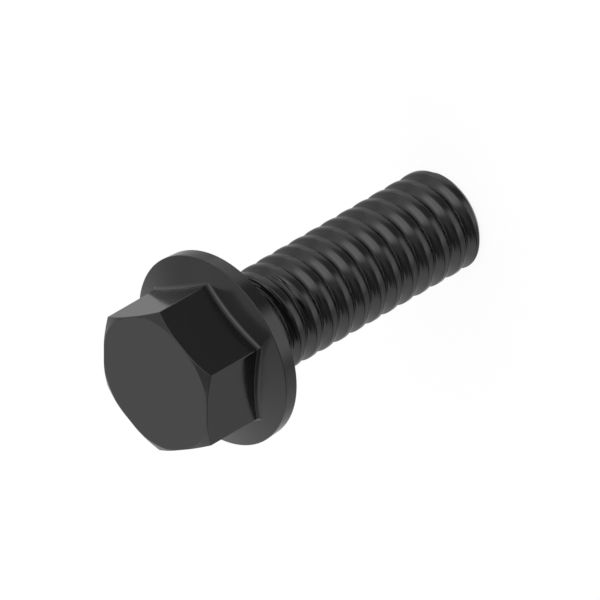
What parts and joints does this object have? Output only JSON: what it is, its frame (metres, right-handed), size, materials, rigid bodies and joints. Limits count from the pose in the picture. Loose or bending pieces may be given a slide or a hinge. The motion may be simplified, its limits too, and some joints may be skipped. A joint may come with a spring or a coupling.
{
  "type": "flange bolt",
  "caption": "Hexagon flange bolt, black finish, 6 mm coarse right-hand thread over its whole 17 mm shank, 8 mm across flats.",
  "frame": {"origin": "centre of the flange's bearing face, where the head seats on what it clamps", "axes": "+Z along the axis towards the head, so the thread runs down to -Z; two corners of the hexagon lie on X and two flats face Y"},
  "size_m": [0.0114, 0.0114, 0.0223],
  "materials": {
    "black_steel": "semi-gloss black oxide"
  },
  "bodies": {
    "root": {"flange_bolt": "black_steel"}
  },
  "joints": []
}
